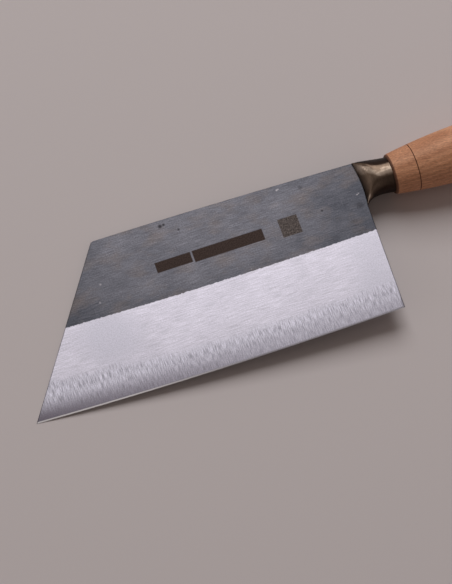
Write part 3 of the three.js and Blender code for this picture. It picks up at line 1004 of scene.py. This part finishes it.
def turned_mesh(name, profile, sizes):
    """Turns (x, share) points with the barrel tree and returns the plain mesh."""
    tree = bpy.data.node_groups.get("Turned barrel") or turned_tree()
    line = bpy.data.meshes.new(f"{name}_profile")
    links = [(point, point + 1) for point in range(len(profile) - 1)]
    line.from_pydata([(x, share, 0) for x, share in profile], links, [])
    carrier = add_object(f"{name}_profile", line)
    modifier = carrier.modifiers.new("Turned barrel", "NODES")
    modifier.node_group = tree
    for key, value in sizes.items():
        modifier[tree.interface.items_tree[key].identifier] = value
    graph = bpy.context.evaluated_depsgraph_get()
    mesh = bpy.data.meshes.new_from_object(carrier.evaluated_get(graph))
    carrier.modifiers.remove(modifier)
    bpy.data.objects.remove(carrier)
    bpy.data.meshes.remove(line)
    smooth_outward(mesh)
    return mesh


def quarter(steps):
    """Angles of a quarter turn."""
    return [step / steps * math.pi / 2 for step in range(steps + 1)]


# Shares of the front face's radius, and steps along each stretch of the handle
FRONT_SHARES = (0, 0.4, 0.75)
RIM_STEPS = 8
NECK_STEPS = 16
GROOVE_STEPS = 8
BARREL_STEPS = 60
ROUND_STEPS = 14


def handle_profile(handle, butt):
    """The handle from the middle of its front face round to the middle of the washer's seat."""
    front, rear = handle.front_diameter / 2, handle.butt_diameter / 2
    profile = [(0, share) for share in FRONT_SHARES]
    for angle in quarter(RIM_STEPS):
        inset = handle.rim * (1 - math.sin(angle))
        profile.append((handle.rim * (1 - math.cos(angle)), 1 - inset / front))
    half = handle.groove_width / 2
    start, stop = handle.groove_at - half, handle.groove_at + half
    profile += [(lerp(handle.rim, start, step / NECK_STEPS), 1) for step in range(1, NECK_STEPS + 1)]
    groove = handle.groove_depth / (front + handle.groove_depth)
    for step in range(1, GROOVE_STEPS):
        across = step / GROOVE_STEPS
        profile.append((lerp(start, stop, across), 1 - groove * math.sin(math.pi * across)))
    butt_x = handle.length - handle.butt_round
    profile += [(lerp(stop, butt_x, step / BARREL_STEPS), 1) for step in range(BARREL_STEPS + 1)]
    hole = butt.washer_diameter / 2 + butt.clearance
    for angle in quarter(ROUND_STEPS)[1:]:
        x = butt_x + handle.butt_round * math.sin(angle)
        profile.append((x, lerp((hole + SEAT_GAP) / rear, 1, math.cos(angle))))
    seat = handle.length - butt.recess
    profile += [(handle.length, hole / rear), (seat, hole / rear), (seat, 0)]
    return profile


# Growth layers 2.5 mm apart round a heart outside the handle, leaning so that they come out near the front,
# and drawn out along it. One ring of the wave texture is 0.314 wide.
RING_SPACING = 2.5
RING_OF_WAVE = 0.314
RING_STRETCH = (0.2, 1, 1)
HEART = {"Location": (0, 23, 33), "Rotation": (0, 0.106, -0.074)}

# Grains of the wood, given as the blade's are. All but the slow drift of the tone lie askew to the axis.
WOOD_DRIFT = ((30, 7, 7), 0.0, 1.0, 4.0)
WOOD_LINES = ((22, 0.8, 0.8), 0.86, 1.12, 2.0)
WOOD_PORES = ((3, 0.45, 0.45), -0.5, 0.45, 2.0)
WOOD_FIBRE = ((1.5, 0.5, 0.5), 0.84, 1.16, 1.0)
DRIFT_SHARE = 0.5
FIBRE_TURN = (0, 0, 0.2)

# Limits in millimetres of the painted shade on the front rim, and how dark that shade and the scorched
# groove are
OILED_RIM = (1.3, 0.8)
OIL_DARK = 0.8


def turned_wood(finishes, handle):
    """Fine hardwood, turned, sanded and oiled.

    Growth layers show as soft arches near the front and faint bands along the barrel, with a fine fleck of
    short pores. The groove is scorched dark brown, and the front rim is painted the same dark brown as
    shade.
    """
    material, add, shade = new_finish("Beech, turned and oiled")
    place = knife_millimetres(add)
    x = add(SPLIT, (place,)).outputs[0]
    lean = add(MAPPING, {"Vector": place, **HEART})
    drawn = add(MAPPING, {"Vector": lean, "Scale": RING_STRETCH})
    wave = {"Vector": drawn, "Scale": RING_OF_WAVE / RING_SPACING}
    wave.update({"Distortion": 3.0, "Detail": 3.0, "Detail Scale": 0.8})
    rings = add("ShaderNodeTexWave", wave, wave_type="RINGS", rings_direction="X")
    drift = grain(add, place, *WOOD_DRIFT)[1]
    tone = add(MIX, (DRIFT_SHARE, rings.outputs["Fac"], drift))
    wood = add(MIX, (tone, finishes.wood_light, finishes.wood_dark), **BLEND)
    askew = add(MAPPING, {"Vector": place, "Rotation": FIBRE_TURN})
    wood = add(MIX, (1.0, wood, grain(add, askew, *WOOD_LINES)[1]), **TINT)
    pore, pored = grain(add, askew, *WOOD_PORES)
    wood = add(MIX, (pored, wood, finishes.wood_fleck), **BLEND)
    wood = add(MIX, (1.0, wood, grain(add, askew, *WOOD_FIBRE)[1]), **TINT)
    middle, half = handle.groove_at / MM, handle.groove_width / MM / 2
    groove = add(MATH, (x, middle, half), operation="COMPARE")
    # Painted shade on the front rim
    rim = add(RANGE, (x, *OILED_RIM))
    dark = add(MATH, (groove, rim), operation="MAXIMUM")
    dark = add(MATH, (dark, OIL_DARK), **TIMES)
    wood = add(MIX, (dark, wood, finishes.scorch), **BLEND)
    bump = add(BUMP, {"Strength": 0.2, "Distance": 0.05 * MM, "Height": pore}, invert=True)
    shade({"Base Color": wood, "Roughness": 0.6, "Specular IOR Level": 0.3, "Normal": bump})
    return material


class BUNKA_OT_handle(Operator):
    """Build the turned wooden handle"""

    bl_idname = "bunka.handle"
    bl_label = "Build handle"

    def execute(self, context):
        knife = settings()
        handle = knife.handle
        sizes = {
            "Sides": handle.sides,
            "Length": handle.length,
            "Front diameter": handle.front_diameter,
            "Belly diameter": handle.belly_diameter,
            "Belly position": handle.belly_at,
            "Butt diameter": handle.butt_diameter,
            "Material": turned_wood(knife.finishes, handle),
        }
        mesh = turned_mesh("turned_handle", handle_profile(handle, knife.butt), sizes)
        finish_piece("turned_handle", mesh, "turned_wood", "handle")
        return {"FINISHED"}


WASHER_EASE = 0.25 * MM
BUTT_SIDES = 64
PEEN_STEPS = 8
DENTS = ((1.5, 1.5, 1.5), 0.75, 1.1, 4.0)
WASHER_ROUGHNESS = (0.0, 1.0, 0.3, 0.5)


def plain_steel(finishes):
    """Mild steel, punched and hammered: grey, with the dull scatter of a worn, unpolished face."""
    material, add, shade = new_finish("Mild steel, punched and hammered")
    dents, tone = grain(add, knife_millimetres(add), *DENTS)
    body = add(MIX, (1.0, finishes.washer, tone), **TINT)
    rough = add(RANGE, (dents, *WASHER_ROUGHNESS))
    bump = add(BUMP, {"Strength": 0.4, "Distance": 0.1 * MM, "Height": dents})
    shade({"Base Color": body, "Roughness": rough, "Normal": bump, "Metallic": 1.0})
    return material


class BUNKA_OT_butt(Operator):
    """Build the washer and the peened tang end at the butt"""

    bl_idname = "bunka.butt"
    bl_label = "Build butt"

    def execute(self, context):
        knife = settings()
        butt = knife.butt
        steel = plain_steel(knife.finishes)
        low = knife.handle.length - butt.recess + SEAT_GAP
        top = low + butt.washer_thickness
        outer = butt.washer_diameter / 2
        inner = (butt.tang_diameter / 2 + butt.clearance) / outer
        ease, rim = WASHER_EASE, 1 - WASHER_EASE / outer
        ring = [(low, inner), (low, rim), (low + ease, 1), (top - ease, 1), (top, rim), (top, inner)]
        ring.append(ring[0])
        self.turn("butt_washer_ring", ring, butt.washer_diameter, steel, "washer_steel", "butt_washer")

        head = top + SEAT_GAP
        stem = butt.tang_diameter / butt.peen_diameter
        profile = [(low, 0), (low, stem), (head, stem)]
        for angle in quarter(PEEN_STEPS):
            profile.append((head + butt.peen_height * math.sin(angle), math.cos(angle)))
        self.turn("peened_tang_end", profile, butt.peen_diameter, steel, "core_steel", "steel_core")
        return {"FINISHED"}

    def turn(self, name, profile, diameter, material, slot, cad_node):
        """A plain turned piece: the barrel tree with one diameter, so that its length has no effect."""
        sizes = {"Sides": BUTT_SIDES, "Length": 1.0, "Belly position": 0.5, "Material": material}
        for end in ("Front", "Belly", "Butt"):
            sizes[f"{end} diameter"] = diameter
        finish_piece(name, turned_mesh(name, profile, sizes), slot, cad_node)


# The picture in pixels, and where the joint of bolster and handle is in it
PICTURE = (452, 584)
JOINT_PIXEL = (389.75, 174.65)
FOCAL_PIXELS = 1800
SENSOR = 36

# Lamps: name, the way to it in the picture's frame and size in metres
SOFTBOX = ("softbox", (-0.06, 0.64, 0.77), 1.8)
FILL_CARD = ("fill_card", (-0.85, -0.35, 0.36), 1.4)
LAMP_DISTANCE = 2.9
FLOOR_RADIUS = 6
FLOOR_SIDES = 64

# Tints of the room and its walls, and the rise of a direction between which the walls fade in
ROOM_TINT = (1, 0.85, 0.77)
WALL_TINT = (1, 0.96, 0.95)
WALLS_FADE = (0.7, 0.3)


class BUNKA_OT_stage(Operator):
    """Build the pale floor, the soft studio light and the camera"""

    bl_idname = "bunka.stage"
    bl_label = "Build stage"

    def execute(self, context):
        scene = context.scene
        stage = settings().stage
        self.floor(settings().finishes)
        self.light(scene, stage)
        self.camera(scene, stage)
        scene.view_settings.view_transform = "Standard"
        return {"FINISHED"}

    def floor(self, finishes):
        """A wide matt floor, so that every view has it behind the knife."""
        mesh = bpy.data.meshes.new("floor")
        form = bmesh.new()
        bmesh.ops.create_circle(form, cap_ends=True, segments=FLOOR_SIDES, radius=FLOOR_RADIUS)
        form.to_mesh(mesh)
        form.free()
        material, _, shade = new_finish("Matt paint, rolled")
        shade({"Base Color": finishes.floor, "Roughness": 0.9})
        mesh.materials.append(material)
        floor = add_object("floor", mesh)

    def light(self, scene, stage):
        """A softbox high behind the knife, a dim card at its tip, and a room whose low walls metal shows."""
        for (name, way, size), radiance in ((SOFTBOX, stage.key), (FILL_CARD, stage.fill)):
            aim = self.to_world(stage, Vector(way).normalized())
            lamp = bpy.data.lights.new(name, "AREA")
            lamp.size = size
            lamp.energy = radiance * math.pi * size**2
            card = add_object(name, lamp)
            card.location = aim * LAMP_DISTANCE
            card.rotation_euler = aim.to_track_quat("Z", "Y").to_euler()
        world = bpy.data.worlds.new("room")
        world.use_nodes = True
        tree = world.node_tree
        add = partial(node, tree)
        way = add("ShaderNodeTexCoord").outputs["Generated"]
        rise = add(SPLIT, (way,)).outputs["Z"]
        low = add(RANGE, (rise, *WALLS_FADE), **SMOOTH)
        glossy = add("ShaderNodeLightPath").outputs["Is Glossy Ray"]
        shown = add(MATH, (glossy, low), **TIMES)
        strength = add(MIX, (shown, stage.room, stage.walls))
        tint = add(MIX, (shown, ROOM_TINT, WALL_TINT), **BLEND)
        feed(tree, tree.nodes["Background"], {"Color": tint, "Strength": strength})
        scene.world = world

    def to_world(self, stage, direction):
        """A direction of the picture's frame, with the blade as its ground, in the world."""
        return REST_TURN @ (Matrix.Rotation(-stage.turn, 3, "Z") @ direction)

    def camera(self, scene, stage):
        """The photograph's view, with the joint of bolster and handle at its pixel."""
        right = Vector((1, 0, 0))
        ahead = Vector((0, math.cos(stage.elevation), -math.sin(stage.elevation)))
        up = right.cross(ahead)
        across = (JOINT_PIXEL[0] - PICTURE[0] / 2) / FOCAL_PIXELS
        above = (PICTURE[1] / 2 - JOINT_PIXEL[1]) / FOCAL_PIXELS
        eye = -ahead * stage.distance
        ray = ahead + right * across + up * above
        joint = eye - ray * (eye.z / ray.z)
        data = bpy.data.cameras.new("camera")
        data.sensor_width = SENSOR
        data.lens = FOCAL_PIXELS * SENSOR / max(PICTURE)
        camera = add_object("camera", data)
        axes = [self.to_world(stage, axis) for axis in (right, up, -ahead)]
        turn = Matrix(axes).transposed().to_4x4()
        camera.matrix_world = Matrix.Translation(self.to_world(stage, eye - joint) + REST_SHIFT) @ turn
        scene.camera = camera


OPERATORS = (BUNKA_OT_blade, BUNKA_OT_bolster, BUNKA_OT_handle, BUNKA_OT_butt, BUNKA_OT_stage)


class BUNKA_PT_knife(Panel):
    """Sizes, colours and operators of the knife"""

    bl_idname = "BUNKA_PT_knife"
    bl_label = "Bunka knife"
    bl_space_type = "VIEW_3D"
    bl_region_type = "UI"
    bl_category = "Knife"

    def draw(self, context):
        knife = context.scene.bunka_knife
        for group in KnifeSettings.__annotations__:
            box = self.layout.box()
            box.label(text=group.capitalize())
            part = getattr(knife, group)
            for name in part.__annotations__:
                box.prop(part, name)
        for operator in OPERATORS:
            self.layout.operator(operator.bl_idname)


GROUPS = (BladeSizes, BolsterSizes, HandleSizes, ButtSizes, Finishes, StageSettings, KnifeSettings)
CLASSES = (*GROUPS, *OPERATORS, BUNKA_PT_knife)


def register():
    for cls in CLASSES:
        bpy.utils.register_class(cls)
    bpy.types.Scene.bunka_knife = PointerProperty(type=KnifeSettings)


def unregister():
    del bpy.types.Scene.bunka_knife
    for cls in reversed(CLASSES):
        bpy.utils.unregister_class(cls)


def main():
    register()
    bpy.ops.bunka.stage()
    bpy.ops.bunka.blade()
    bpy.ops.bunka.bolster()
    bpy.ops.bunka.handle()
    bpy.ops.bunka.butt()


if __name__ == "__main__":
    main()
